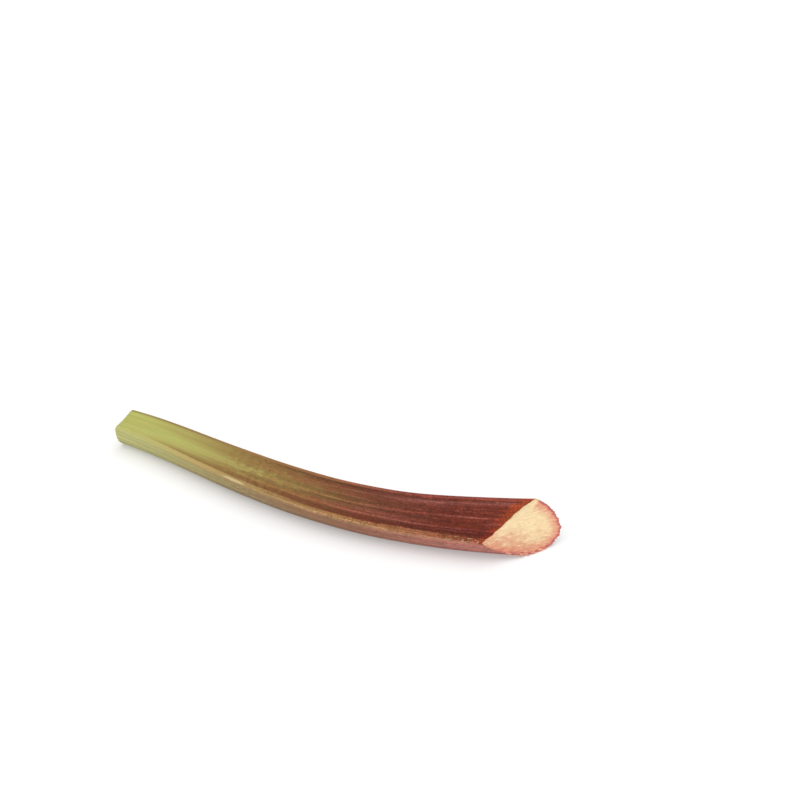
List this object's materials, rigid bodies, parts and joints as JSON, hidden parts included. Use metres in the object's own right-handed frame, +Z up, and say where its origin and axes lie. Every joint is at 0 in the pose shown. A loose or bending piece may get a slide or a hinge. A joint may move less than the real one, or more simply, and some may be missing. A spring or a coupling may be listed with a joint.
{
  "type": "rhubarb stalk",
  "caption": "Cut rhubarb stalk lying on its ribbed back: nearly flat face between raised edges, gently bowed, flared at the base and cut there on a slant that hollows in from the face, leaf end cut straight.",
  "frame": {"origin": "on the surface that the stalk lies on, under the middle of its box", "axes": "+X along the stalk towards its broad base end, +Z up, -Y towards the outside of its sideways bow"},
  "size_m": [0.3326, 0.0632, 0.0287],
  "materials": {
    "rhubarb_skin": "satin plant skin, maroon-red at the base and green at the leaf end, with cream flesh on the two cuts"
  },
  "bodies": {
    "root": {"rhubarb_stalk": "rhubarb_skin"}
  },
  "joints": []
}
